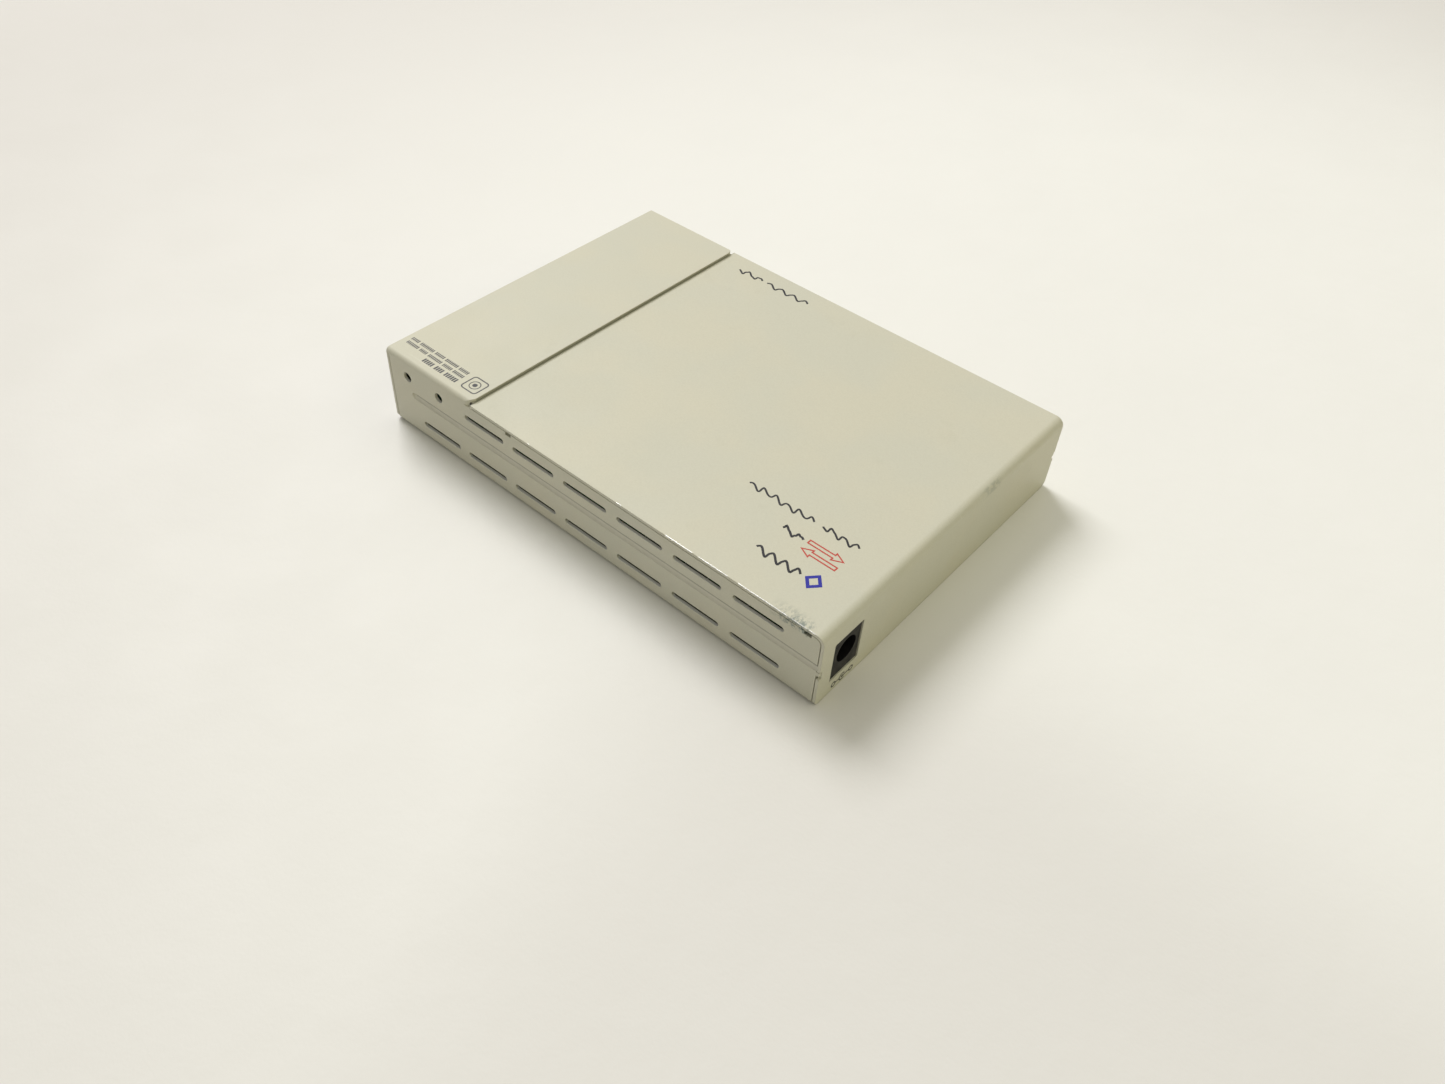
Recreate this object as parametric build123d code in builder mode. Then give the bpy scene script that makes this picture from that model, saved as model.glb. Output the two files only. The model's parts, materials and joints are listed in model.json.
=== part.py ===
"""Copper-to-fibre media converter in a folded sheet-steel box.

Millimetres, +Z up. X runs from the front panel (-X) to the rear wall (+X), and Y from the near
slotted wall (-Y) to the far one (+Y). The origin is the middle of the underside.
"""
import os
from build123d import *

# ---------------------------------------------------------------- driving dimensions
LENGTH = 132.0          # front panel to rear wall, outside
WIDTH = 93.0            # across the two side walls, outside
HEIGHT = 21.3           # underside to the top of the front strip
SHEET = 0.7             # steel thickness
LAP_GAP = 0.1           # air between two sheets that lie on each other
SEAM = 0.2              # air in the joints that show outside
STRIP_DEPTH = 30.0      # front strip, front to rear
STRIP_CORNER = 2.5      # its rounded rear corners, seen from above
TOP_BEND = 1.2          # outer radius where the strip turns down into a wall
BOTTOM_BEND = 1.5       # outer radius where a wall turns into the bottom
REAR_BEND = 2.2         # outer radius where the cover turns down into the rear wall

SLOT_LENGTH = 13.2
SLOT_HEIGHT = 1.4
SLOT_PITCH = 16.3
SLOT_SHIFT = 0.8        # the rows sit this far behind the middle of the length
LOWER_SLOT_Z = 4.6
LOWER_SLOT_COUNT = 7
UPPER_SLOT_Z = 15.9
UPPER_SLOT_COUNT = 6

GROOVE_Z = 11.6         # stiffening groove pressed along each side wall, open at the rear
GROOVE_DEPTH = 0.7
GROOVE_RADIUS = 1.0
GROOVE_START = -57.0

EAR_HOLE_X = (-58.9, -47.6)
EAR_HOLE_Z = 16.2
EAR_HOLE_RADIUS = 1.3

NOTCH_X = (-23.3, 61.9)   # small notches in the top edge of each side wall
NOTCH_WIDTH = 1.8
NOTCH_DEPTH = 0.8
TAB_Z = 10.0            # locating tab of each side wall, in a notch of the rear wall
TAB_HEIGHT = 1.0
TAB_NOTCH_Z = 9.6
TAB_NOTCH_HEIGHT = 2.2

BOARD_TOP = 4.2         # upper face of the circuit board
BOARD_THICK = 1.6

JACK_Y = -37.4          # power inlet, middle of its face
JACK_WIDTH = 9.0
JACK_HEIGHT = 11.0
JACK_BORE_RADIUS = 3.2
JACK_BORE_RISE = 6.2    # bore centre above the board

FIBRE_Y = -24.0         # optical transceiver, middle
FIBRE_PITCH = 12.7      # between its two ports
LED_Y = 0.0
COPPER_Y = 18.0         # twisted-pair socket, middle
DIP_Y = 36.0            # configuration switch, middle
DIP_PITCH = 2.54
DIP_TRAVEL = 1.4

# ---------------------------------------------------------------- derived dimensions
FRONT = -LENGTH / 2
REAR = LENGTH / 2
SIDE = WIDTH / 2
FACE = FRONT + 0.1                  # connector faces stand just inside the panel's outer face
INSIDE_FRONT = FRONT + SHEET
INSIDE_REAR = REAR - SHEET
SHELL_REAR = INSIDE_REAR - SEAM     # rear edge of the side walls and the bottom
STRIP_REAR = FRONT + STRIP_DEPTH
STRIP_UNDER = HEIGHT - SHEET
COVER_TOP = STRIP_UNDER - LAP_GAP
COVER_UNDER = COVER_TOP - SHEET
WALL_TOP = COVER_UNDER - SEAM
BOARD_UNDER = BOARD_TOP - BOARD_THICK
THROUGH = 4 * SHEET                 # a cut that surely passes one sheet

STANDOFF_PLACES = ((-40, -40), (-40, 40), (44, -22), (44, 40))
PANEL_SCREW_PLACES = ((-60, -8.5), (-60, 28))
COVER_SCREW_PLACES = ((60, 2), (60, 34))
SCREW_RADIUS = 1.5
SCREW_HOLE_RADIUS = SCREW_RADIUS + LAP_GAP
HEAD_RADIUS = 2.7
HEAD_HEIGHT = SHEET
RECESS = (2.6, 0.6)                 # arm length and width of the cross in a case screw
NUT_RADIUS = 2.9
NUT_HEIGHT = 1.5
STANDOFF_RADIUS = 2.6
SHANK_RADIUS = 2.0                  # standoff shank, pressed into the bottom sheet
TAB_UNDER = SHEET + LAP_GAP         # screw tabs of the panel and the cover lie on the bottom
TAB_TOP = TAB_UNDER + SHEET
TAB_REACH = 4.5                     # from a screw's axis to the end of its tab
PANEL_TAB_WIDTH = 9.0
COVER_TAB_WIDTH = 12.0
OPENING_CORNER = 0.4                # corner radius of the punched openings

os.makedirs("parts", exist_ok=True)


# ---------------------------------------------------------------- helpers
def slab(x_range, y_range, z_range, mode=Mode.ADD):
    """A rectangular block of the current part, given by its spans."""
    with BuildSketch(Plane.XY.offset(z_range[0])) as outline:
        with Locations(((x_range[0] + x_range[1]) / 2, (y_range[0] + y_range[1]) / 2)):
            Rectangle(x_range[1] - x_range[0], y_range[1] - y_range[0])
    extrude(outline.sketch, amount=z_range[1] - z_range[0], mode=mode)


def rod_up(place, radius, z_range, mode=Mode.ADD):
    """An upright round rod of the current part."""
    with BuildSketch(Plane.XY.offset(z_range[0])) as outline:
        with Locations(place):
            Circle(radius)
    extrude(outline.sketch, amount=z_range[1] - z_range[0], mode=mode)


def rod_along(y, z, radius, x_range, mode=Mode.ADD):
    """A round rod of the current part lying along X."""
    with BuildSketch(Plane.YZ.offset(x_range[0])) as outline:
        with Locations((y, z)):
            Circle(radius)
    extrude(outline.sketch, amount=x_range[1] - x_range[0], mode=mode)


def flat_head(place, mode=Mode.ADD, spare=0.0):
    """The cone of a flat-head screw under the bottom sheet, or its seat when spare is given."""
    with BuildSketch(Plane.XY.offset(0)) as wide:
        with Locations(place):
            Circle(HEAD_RADIUS + spare)
    with BuildSketch(Plane.XY.offset(HEAD_HEIGHT)) as narrow:
        with Locations(place):
            Circle(SCREW_RADIUS + spare)
    loft([wide.sketch, narrow.sketch], mode=mode)


def finish(builder, name):
    """Name a finished part and write its STEP file."""
    builder.part.label = name
    export_step(builder.part, f"parts/{name}.step")


def centred(middle, size):
    """The span of a size about its middle."""
    return (middle - size / 2, middle + size / 2)


# ---------------------------------------------------------------- base shell
def side_groove(side):
    """The stiffening groove of one side wall: a bulge inside and a hollow outside."""
    centre_y = side * (SIDE + GROOVE_RADIUS - GROOVE_DEPTH)
    bulge_radius = GROOVE_RADIUS + 0.8 * SHEET
    inner_y = sorted((side * (SIDE - SHEET / 2), side * (SIDE - 4 * SHEET)))
    with BuildPart(mode=Mode.PRIVATE) as bulge:
        rod_along(centre_y, GROOVE_Z, bulge_radius, (GROOVE_START, SHELL_REAR))
        with Locations((GROOVE_START, centre_y, GROOVE_Z)):
            Sphere(bulge_radius)
        with Locations((0, sum(inner_y) / 2, GROOVE_Z)):
            Box(LENGTH * 2, inner_y[1] - inner_y[0], HEIGHT, mode=Mode.INTERSECT)
    add(bulge.part)
    rod_along(centre_y, GROOVE_Z, GROOVE_RADIUS, (GROOVE_START, REAR), mode=Mode.SUBTRACT)
    with Locations((GROOVE_START, centre_y, GROOVE_Z)):
        Sphere(GROOVE_RADIUS, mode=Mode.SUBTRACT)


with BuildPart() as base_shell:
    with BuildSketch(Plane.YZ.offset(FRONT)) as shell_section:
        with Locations((0, HEIGHT / 2)):
            Rectangle(WIDTH, HEIGHT)
        fillet(shell_section.vertices().group_by(Axis.Y)[-1], TOP_BEND)
        fillet(shell_section.vertices().group_by(Axis.Y)[0], BOTTOM_BEND)
        offset(amount=-SHEET, mode=Mode.SUBTRACT)
    extrude(amount=SHELL_REAR - FRONT)
    # the front panel stands in front of the walls and under the strip
    slab((FRONT, INSIDE_FRONT + SEAM), centred(0, WIDTH), (0, STRIP_UNDER - SHEET), Mode.SUBTRACT)
    # everything behind the strip and above the walls is open for the cover
    with BuildSketch(Plane.XY.offset(WALL_TOP)) as cover_opening:
        Rectangle(2 * LENGTH, 2 * WIDTH)
        with BuildSketch(mode=Mode.SUBTRACT) as strip_outline:
            with Locations((FRONT + STRIP_DEPTH / 2, 0)):
                Rectangle(STRIP_DEPTH, WIDTH)
            fillet(strip_outline.vertices().group_by(Axis.X)[-1], STRIP_CORNER)
    extrude(amount=HEIGHT, mode=Mode.SUBTRACT)
    for side in (-1, 1):
        side_groove(side)
    # cooling slots through both walls
    with BuildSketch(Plane.XZ.offset(-WIDTH)) as slots:
        for count, height in ((LOWER_SLOT_COUNT, LOWER_SLOT_Z), (UPPER_SLOT_COUNT, UPPER_SLOT_Z)):
            first = SLOT_SHIFT + (LOWER_SLOT_COUNT - count) * SLOT_PITCH / 2
            with Locations((first, height)):
                with GridLocations(SLOT_PITCH, 1, count, 1):
                    SlotOverall(SLOT_LENGTH, SLOT_HEIGHT)
        # holes for rack or wall ears, near the front
        with Locations(*[(x, EAR_HOLE_Z) for x in EAR_HOLE_X]):
            Circle(EAR_HOLE_RADIUS)
    extrude(amount=2 * WIDTH, mode=Mode.SUBTRACT)
    # the walls' upper rear corners follow the cover's bend
    crosswise = base_shell.edges().filter_by(Axis.Y)
    wall_corners = crosswise.filter_by_position(Axis.Z, WALL_TOP - 0.01, WALL_TOP + 0.01)
    fillet(wall_corners.group_by(Axis.X)[-1], REAR_BEND - SHEET - SEAM)
    # small notches in the top edge of each wall
    for notch_x in NOTCH_X:
        notch_z = (WALL_TOP - NOTCH_DEPTH, HEIGHT)
        slab(centred(notch_x, NOTCH_WIDTH), centred(0, 2 * WIDTH), notch_z, Mode.SUBTRACT)
    # locating tabs that reach into the notches of the rear wall
    for side in (-1, 1):
        tab_y = centred(side * (SIDE - SHEET / 2), SHEET)
        slab((SHELL_REAR - SHEET, REAR - LAP_GAP), tab_y, centred(TAB_Z, TAB_HEIGHT))
    # holes in the bottom: standoff shanks, panel screws and open slots for the cover screws
    with BuildSketch(Plane.XY) as bottom_holes:
        with Locations(*STANDOFF_PLACES):
            Circle(SHANK_RADIUS)
        with Locations(*PANEL_SCREW_PLACES):
            Circle(SCREW_HOLE_RADIUS)
    extrude(amount=THROUGH, mode=Mode.SUBTRACT)
    for place in PANEL_SCREW_PLACES:
        flat_head(place, Mode.SUBTRACT, LAP_GAP)
    for place in COVER_SCREW_PLACES:
        with BuildSketch(Plane.YZ.offset(place[0])) as slot_section:
            with BuildLine():
                half_wide = HEAD_RADIUS + LAP_GAP
                half_narrow = SCREW_HOLE_RADIUS
                Polyline((place[1] - half_wide, 0), (place[1] + half_wide, 0),
                         (place[1] + half_narrow, SHEET), (place[1] - half_narrow, SHEET), close=True)
            make_face()
        extrude(amount=LENGTH, mode=Mode.SUBTRACT)
        flat_head(place, Mode.SUBTRACT, LAP_GAP)
finish(base_shell, "base_shell")

# ---------------------------------------------------------------- front panel
FIBRE_OPENING = (26.0, 11.6)
COPPER_OPENING = (16.6, 14.0)
DIP_OPENING = (4 * DIP_PITCH + 0.8, 5.0)
DIP_OPENING_Z = BOARD_TOP + 4.0
PANEL_UNDER = 0.4
PANEL_SHOULDER = 3.0                # each side, where the panel's top narrows to clear the strip's bends
LED_ROWS = (6.4, 10.0, 13.6)
LED_COLUMNS = (LED_Y - 3.0, LED_Y + 3.0)
LED_RADIUS = 1.45
PORT_Z = BOARD_TOP + 5.6

with BuildPart() as front_panel:
    slab((FRONT, INSIDE_FRONT), centred(0, WIDTH), (PANEL_UNDER, STRIP_UNDER - SHEET - LAP_GAP))
    fillet(front_panel.edges().filter_by(Axis.X).group_by(Axis.Z)[0], BOTTOM_BEND - 0.3)
    slab((FRONT, INSIDE_FRONT), centred(0, WIDTH - 2 * PANEL_SHOULDER),
         (STRIP_UNDER - 3 * SHEET, STRIP_UNDER - LAP_GAP))
    with BuildSketch(Plane.YZ.offset(FRONT - SHEET)) as panel_openings:
        with Locations((FIBRE_Y, PORT_Z)):
            RectangleRounded(*FIBRE_OPENING, OPENING_CORNER)
        with Locations((COPPER_Y, BOARD_TOP + COPPER_OPENING[1] / 2 - 0.2)):
            RectangleRounded(*COPPER_OPENING, OPENING_CORNER)
        with Locations(*[(y, z) for y in LED_COLUMNS for z in LED_ROWS]):
            Circle(LED_RADIUS + LAP_GAP)
        with Locations((DIP_Y, DIP_OPENING_Z)):
            RectangleRounded(*DIP_OPENING, OPENING_CORNER)
    extrude(amount=THROUGH, mode=Mode.SUBTRACT)
    # tabs that turn back along the bottom, each with a screw
    for place in PANEL_SCREW_PLACES:
        tab_y = centred(place[1], PANEL_TAB_WIDTH)
        slab((INSIDE_FRONT - SHEET, place[0] + TAB_REACH), tab_y, (TAB_UNDER, TAB_TOP))
        rod_up(place, SCREW_HOLE_RADIUS, (0, THROUGH), Mode.SUBTRACT)
finish(front_panel, "front_panel")

# ---------------------------------------------------------------- top cover
JACK_OPENING = (9.6, 11.6)
JACK_Z = BOARD_TOP + JACK_HEIGHT / 2
TONGUE = 4.0                        # how far the cover reaches under the strip
REAR_CORNER = 1.6                   # lower corners of the rear wall

with BuildPart() as top_cover:
    with BuildSketch(Plane.XZ.offset(-SIDE)) as cover_section:
        with BuildLine():
            tongue_end = STRIP_REAR - TONGUE
            Polyline((tongue_end, COVER_TOP), (REAR, COVER_TOP), (REAR, LAP_GAP), (INSIDE_REAR, LAP_GAP),
                     (INSIDE_REAR, COVER_UNDER), (tongue_end, COVER_UNDER), close=True)
        make_face()
        fillet(cover_section.vertices().sort_by_distance((REAR, COVER_TOP))[0], REAR_BEND)
        fillet(cover_section.vertices().sort_by_distance((INSIDE_REAR, COVER_UNDER))[0], REAR_BEND - SHEET)
    extrude(amount=WIDTH)
    # the tongue that goes under the strip is narrower than the cover
    for side in (-1, 1):
        corner_y = centred(side * SIDE, 2 * TOP_BEND)
        corner_x = (STRIP_REAR - TONGUE - 1, STRIP_REAR + LAP_GAP)
        slab(corner_x, corner_y, (COVER_UNDER - 1, HEIGHT), Mode.SUBTRACT)
    with BuildSketch(Plane.YZ.offset(INSIDE_REAR - THROUGH)) as rear_openings:
        with Locations((JACK_Y, JACK_Z)):
            RectangleRounded(*JACK_OPENING, OPENING_CORNER)
        with Locations((-SIDE, TAB_NOTCH_Z), (SIDE, TAB_NOTCH_Z)):
            Rectangle(2 * (SHEET + LAP_GAP), TAB_NOTCH_HEIGHT)
    extrude(amount=3 * THROUGH, mode=Mode.SUBTRACT)
    fillet(top_cover.edges().filter_by(Axis.X).group_by(Axis.Z)[0], REAR_CORNER)
    # tabs that turn in along the bottom, each with a screw
    for place in COVER_SCREW_PLACES:
        tab_y = centred(place[1], COVER_TAB_WIDTH)
        slab((place[0] - TAB_REACH, INSIDE_REAR + SHEET / 2), tab_y, (TAB_UNDER, TAB_TOP))
        rod_up(place, SCREW_HOLE_RADIUS, (0, THROUGH), Mode.SUBTRACT)
finish(top_cover, "top_cover")


# ---------------------------------------------------------------- fasteners
def case_screws(places):
    """Flat-head screws driven up through the bottom sheet."""
    with BuildPart() as screws:
        for place in places:
            flat_head(place)
            rod_up(place, SCREW_RADIUS, (HEAD_HEIGHT, TAB_TOP + NUT_HEIGHT))
            with BuildSketch(Plane.XY) as recess:
                with Locations(place):
                    Rectangle(*RECESS)
                    Rectangle(*RECESS[::-1])
            extrude(recess.sketch, amount=HEAD_HEIGHT, mode=Mode.SUBTRACT)
    return screws


def clinch_nuts(places):
    """Round nuts pressed onto the upper face of a screw tab."""
    with BuildPart() as nuts:
        for place in places:
            rod_up(place, NUT_RADIUS, (TAB_TOP, TAB_TOP + NUT_HEIGHT))
            rod_up(place, SCREW_RADIUS, (TAB_TOP, TAB_TOP + NUT_HEIGHT), Mode.SUBTRACT)
    return nuts


for kind, places in (("panel", PANEL_SCREW_PLACES), ("cover", COVER_SCREW_PLACES)):
    finish(case_screws(places), f"{kind}_screws")
    finish(clinch_nuts(places), f"{kind}_nuts")

THREAD_FLOOR = 0.4                  # lower end of a standoff's threaded hole
PAN_HEAD = (2.8, 1.7)               # radius and height of a board screw's head
PAN_CROSS = (3.2, 0.7)              # arm length and width of the cross in it
PAN_CROSS_Z = (BOARD_TOP + 0.8, BOARD_TOP + 2)

with BuildPart() as board_standoffs:
    for place in STANDOFF_PLACES:
        rod_up(place, STANDOFF_RADIUS, (SHEET, BOARD_UNDER))
        rod_up(place, SHANK_RADIUS, (0, SHEET))
        rod_up(place, SCREW_RADIUS, (THREAD_FLOOR, BOARD_UNDER), Mode.SUBTRACT)
finish(board_standoffs, "board_standoffs")

with BuildPart() as board_screws:
    for place in STANDOFF_PLACES:
        rod_up(place, SCREW_RADIUS, (THREAD_FLOOR + 0.2, BOARD_TOP))
        rod_up(place, PAN_HEAD[0], (BOARD_TOP, BOARD_TOP + PAN_HEAD[1]))
    fillet(board_screws.edges().filter_by(GeomType.CIRCLE).group_by(Axis.Z)[-1], 0.6)
    for place in STANDOFF_PLACES:
        for arm_x, arm_y in (PAN_CROSS, PAN_CROSS[::-1]):
            slab(centred(place[0], arm_x), centred(place[1], arm_y), PAN_CROSS_Z, Mode.SUBTRACT)
finish(board_screws, "board_screws")

# ---------------------------------------------------------------- circuit board
FIBRE_REAR = FACE + 39.2            # rear end of the optical transceiver, its leads near it
LEAD_PITCH = 2.54
LEAD_RADIUS = 0.25
LEAD_PLACES = [(FIBRE_REAR - 3.0, FIBRE_Y + (index - 4) * LEAD_PITCH) for index in range(9)]
BOARD_HALF_WIDTH = 43.2
BOARD_FRONT = INSIDE_FRONT + 1.5
BOARD_REAR = 52.0
JACK_TONGUE_Y = -30.0               # inner edge of the board's tongue under the power inlet
NUT_ROOM = 0.4                      # between the board and the panel's clinch nuts

with BuildPart() as circuit_board:
    slab((BOARD_FRONT, BOARD_REAR), centred(0, 2 * BOARD_HALF_WIDTH), (BOARD_UNDER, BOARD_TOP))
    fillet(circuit_board.edges().filter_by(Axis.Z), 1.0)
    # the tongue under the power inlet reaches the rear wall
    tongue_y = (-BOARD_HALF_WIDTH, JACK_TONGUE_Y)
    slab((BOARD_REAR - 5, INSIDE_REAR - 0.8), tongue_y, (BOARD_UNDER, BOARD_TOP))
    for place in STANDOFF_PLACES:
        rod_up(place, SCREW_HOLE_RADIUS, (0, HEIGHT), Mode.SUBTRACT)
    # notches in the front edge, around the panel's clinch nuts
    for place in PANEL_SCREW_PLACES:
        room = NUT_RADIUS + NUT_ROOM
        slab((FRONT, place[0]), centred(place[1], 2 * room), (0, HEIGHT), Mode.SUBTRACT)
        rod_up(place, room, (0, HEIGHT), Mode.SUBTRACT)
    for place in LEAD_PLACES:
        rod_up(place, LEAD_RADIUS + LAP_GAP, (0, HEIGHT), Mode.SUBTRACT)
finish(circuit_board, "circuit_board")

# ---------------------------------------------------------------- power inlet
JACK_FACE = REAR - 0.25
JACK_LENGTH = 14.2
JACK_BACK = JACK_FACE - JACK_LENGTH
JACK_BORE_Z = BOARD_TOP + JACK_BORE_RISE
JACK_BORE_DEPTH = 9.5
JACK_NOSE = 3.4                     # the taller front block of the jack
JACK_STEP = 1.4                     # how much lower the rest of it is
JACK_PIN_RADIUS = 1.0
LEAF_WIDTH = 1.8                    # spring leaf under the plug
LEAF_THICK = 0.35

with BuildPart() as power_jack_body:
    jack_y = centred(JACK_Y, JACK_WIDTH)
    slab((JACK_BACK, JACK_FACE - JACK_NOSE), jack_y, (BOARD_TOP, BOARD_TOP + JACK_HEIGHT - JACK_STEP))
    slab((JACK_FACE - JACK_NOSE, JACK_FACE), jack_y, (BOARD_TOP, BOARD_TOP + JACK_HEIGHT))
    fillet(power_jack_body.edges().filter_by(Axis.X).group_by(Axis.Z)[-1], 0.6)
    rod_along(JACK_Y, JACK_BORE_Z, JACK_BORE_RADIUS, (JACK_FACE - JACK_BORE_DEPTH, REAR), Mode.SUBTRACT)
    # slot in the floor of the bore for the spring contact
    leaf_room = centred(JACK_Y, LEAF_WIDTH + 0.6)
    slab((JACK_BACK + 2, JACK_FACE - JACK_NOSE), leaf_room, (BOARD_TOP, JACK_BORE_Z), Mode.SUBTRACT)
finish(power_jack_body, "power_jack_body")

with BuildPart() as power_jack_pin:
    rod_along(JACK_Y, JACK_BORE_Z, JACK_PIN_RADIUS, (JACK_FACE - JACK_BORE_DEPTH, JACK_FACE - 1.8))
    fillet(power_jack_pin.edges().filter_by(GeomType.CIRCLE).group_by(Axis.X)[-1], 0.6)
finish(power_jack_pin, "power_jack_pin")

with BuildPart() as power_jack_spring:
    with BuildSketch(Plane.XZ.offset(-JACK_Y - LEAF_WIDTH / 2)) as spring_outline:
        with BuildLine():
            leaf_low = BOARD_TOP + 0.6
            leaf_high = JACK_BORE_Z - JACK_BORE_RADIUS + 0.7
            Polyline((JACK_BACK + 2.4, leaf_low), (JACK_BACK + 2.4, leaf_low + LEAF_THICK),
                     (JACK_FACE - 7.0, leaf_high + LEAF_THICK), (JACK_FACE - 5.4, leaf_high - 0.6),
                     (JACK_FACE - 5.6, leaf_high - 0.85), (JACK_FACE - 7.0, leaf_high),
                     (JACK_BACK + 5.0, leaf_low), close=True)
        make_face()
    extrude(amount=LEAF_WIDTH)
finish(power_jack_spring, "power_jack_spring")

# ---------------------------------------------------------------- optical transceiver
FIBRE_WIDTH = 25.4
FIBRE_TOP = BOARD_TOP + 11.0
FIBRE_UNDER = BOARD_TOP + 0.2
PORT_SIZE = (9.2, 7.6)
PORT_KEY = (2.4, 1.8)               # keyway above each port
PORT_DEPTH = 13.4
SLEEVE_FRONT = FACE + 5.2
SLEEVE_RADIUS = 2.2
SLEEVE_TAIL_RADIUS = 2.0
SLEEVE_TAIL = 4.0
SLEEVE_BORE_RADIUS = 1.25
PORT_CENTRES = (FIBRE_Y - FIBRE_PITCH / 2, FIBRE_Y + FIBRE_PITCH / 2)
SHIELD_FRONT = FACE + 16.0
SHIELD_THICK = 0.3

with BuildPart() as fibre_housing:
    slab((FACE, FIBRE_REAR), centred(FIBRE_Y, FIBRE_WIDTH), (FIBRE_UNDER, FIBRE_TOP))
    with BuildSketch(Plane.YZ.offset(FACE)) as ports:
        for port_y in PORT_CENTRES:
            with Locations((port_y, PORT_Z)):
                Rectangle(*PORT_SIZE)
            with Locations((port_y, PORT_Z + PORT_SIZE[1] / 2)):
                Rectangle(*PORT_KEY)
    extrude(amount=PORT_DEPTH, mode=Mode.SUBTRACT)
    port_end = FACE + PORT_DEPTH
    for port_y in PORT_CENTRES:
        rod_along(port_y, PORT_Z, SLEEVE_TAIL_RADIUS, (port_end, port_end + SLEEVE_TAIL), Mode.SUBTRACT)
finish(fibre_housing, "fibre_housing")

with BuildPart() as fibre_sleeves:
    for port_y in PORT_CENTRES:
        rod_along(port_y, PORT_Z, SLEEVE_RADIUS, (SLEEVE_FRONT, port_end))
        rod_along(port_y, PORT_Z, SLEEVE_TAIL_RADIUS, (port_end, port_end + SLEEVE_TAIL))
        rod_along(port_y, PORT_Z, SLEEVE_BORE_RADIUS, (FACE, port_end + 1.5), Mode.SUBTRACT)
finish(fibre_sleeves, "fibre_sleeves")

LATCH_THICK = 0.8
LATCH_HEIGHT = 3.0
LATCH_HOOK = 1.4

with BuildPart() as fibre_latches:
    for port_y in PORT_CENTRES:
        for side in (-1, 1):
            arm_y = port_y + side * (PORT_SIZE[0] / 2 - LATCH_THICK)
            hook_y = arm_y - side * (LATCH_HOOK - LATCH_THICK) / 2
            latch_z = centred(PORT_Z, LATCH_HEIGHT)
            slab((SLEEVE_FRONT + 0.8, port_end), centred(arm_y, LATCH_THICK), latch_z)
            slab((SLEEVE_FRONT, SLEEVE_FRONT + 1.2), centred(hook_y, LATCH_HOOK), latch_z)
finish(fibre_latches, "fibre_latches")

with BuildPart() as fibre_shield:
    shield_y = FIBRE_WIDTH + 2 * SHIELD_THICK
    shield_z = (FIBRE_UNDER + 1.5, FIBRE_TOP + SHIELD_THICK)
    slab((SHIELD_FRONT, FIBRE_REAR), centred(FIBRE_Y, shield_y), shield_z)
    slab((SHIELD_FRONT, FIBRE_REAR), centred(FIBRE_Y, FIBRE_WIDTH), (0, FIBRE_TOP), Mode.SUBTRACT)
finish(fibre_shield, "fibre_shield")

with BuildPart() as fibre_leads:
    for place in LEAD_PLACES:
        rod_up(place, LEAD_RADIUS, (BOARD_UNDER - 0.8, FIBRE_UNDER))
finish(fibre_leads, "fibre_leads")

# ---------------------------------------------------------------- twisted-pair socket
COPPER_SIZE = (15.9, 13.4)
COPPER_REAR = FACE + 21.0
COPPER_TOP = BOARD_TOP + COPPER_SIZE[1]
CAVITY = (11.8, 7.6)
CAVITY_DEPTH = 13.0
CAVITY_Z = BOARD_TOP + 1.4
CONTACT_PITCH = 1.02
CONTACT_WIDTH = 0.4
CONTACT_ROOM = 0.6                  # width of the groove that a contact lies in
CONTACT_PLACES = [COPPER_Y + (index - 3.5) * CONTACT_PITCH for index in range(8)]
KEYWAY_STEPS = ((6.2, 0.7), (3.4, 2.1))     # width, and height of the middle above the cavity
KEYWAY_HEIGHT = 1.6

with BuildPart() as copper_shield:
    slab((FACE, COPPER_REAR), centred(COPPER_Y, COPPER_SIZE[0]), (BOARD_TOP, COPPER_TOP))
    inner_y = centred(COPPER_Y, COPPER_SIZE[0] - 2 * SHIELD_THICK)
    slab((FACE - 1, COPPER_REAR - SHIELD_THICK), inner_y, (0, COPPER_TOP - SHIELD_THICK), Mode.SUBTRACT)
finish(copper_shield, "copper_shield")

with BuildPart() as copper_housing:
    slab((FACE + 0.2, COPPER_REAR - SHIELD_THICK), inner_y, (BOARD_TOP, COPPER_TOP - SHIELD_THICK))
    # plug cavity, with the latch keyway in steps above it
    with BuildSketch(Plane.YZ.offset(FACE)) as cavity:
        with Locations((COPPER_Y, CAVITY_Z + CAVITY[1] / 2)):
            Rectangle(*CAVITY)
        for key_width, key_rise in KEYWAY_STEPS:
            with Locations((COPPER_Y, CAVITY_Z + CAVITY[1] + key_rise)):
                Rectangle(key_width, KEYWAY_HEIGHT)
    extrude(amount=CAVITY_DEPTH, mode=Mode.SUBTRACT)
    # grooves in the cavity floor for the contacts
    for contact_y in CONTACT_PLACES:
        groove_y = centred(contact_y, CONTACT_ROOM)
        slab((FACE + 1.4, FACE + CAVITY_DEPTH), groove_y, (BOARD_TOP + 0.6, CAVITY_Z + 1), Mode.SUBTRACT)
finish(copper_housing, "copper_housing")

with BuildPart() as copper_contacts:
    for contact_y in CONTACT_PLACES:
        with BuildSketch(Plane.XZ.offset(-contact_y - CONTACT_WIDTH / 2)) as contact_outline:
            with BuildLine():
                Polyline((FACE + 1.6, BOARD_TOP + 0.8), (FACE + 1.6, BOARD_TOP + 1.15),
                         (FACE + 10.4, CAVITY_Z + 3.0), (FACE + 10.7, CAVITY_Z + 2.7),
                         (FACE + 2.4, BOARD_TOP + 0.8), close=True)
            make_face()
        extrude(contact_outline.sketch, amount=CONTACT_WIDTH)
finish(copper_contacts, "copper_contacts")

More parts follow.
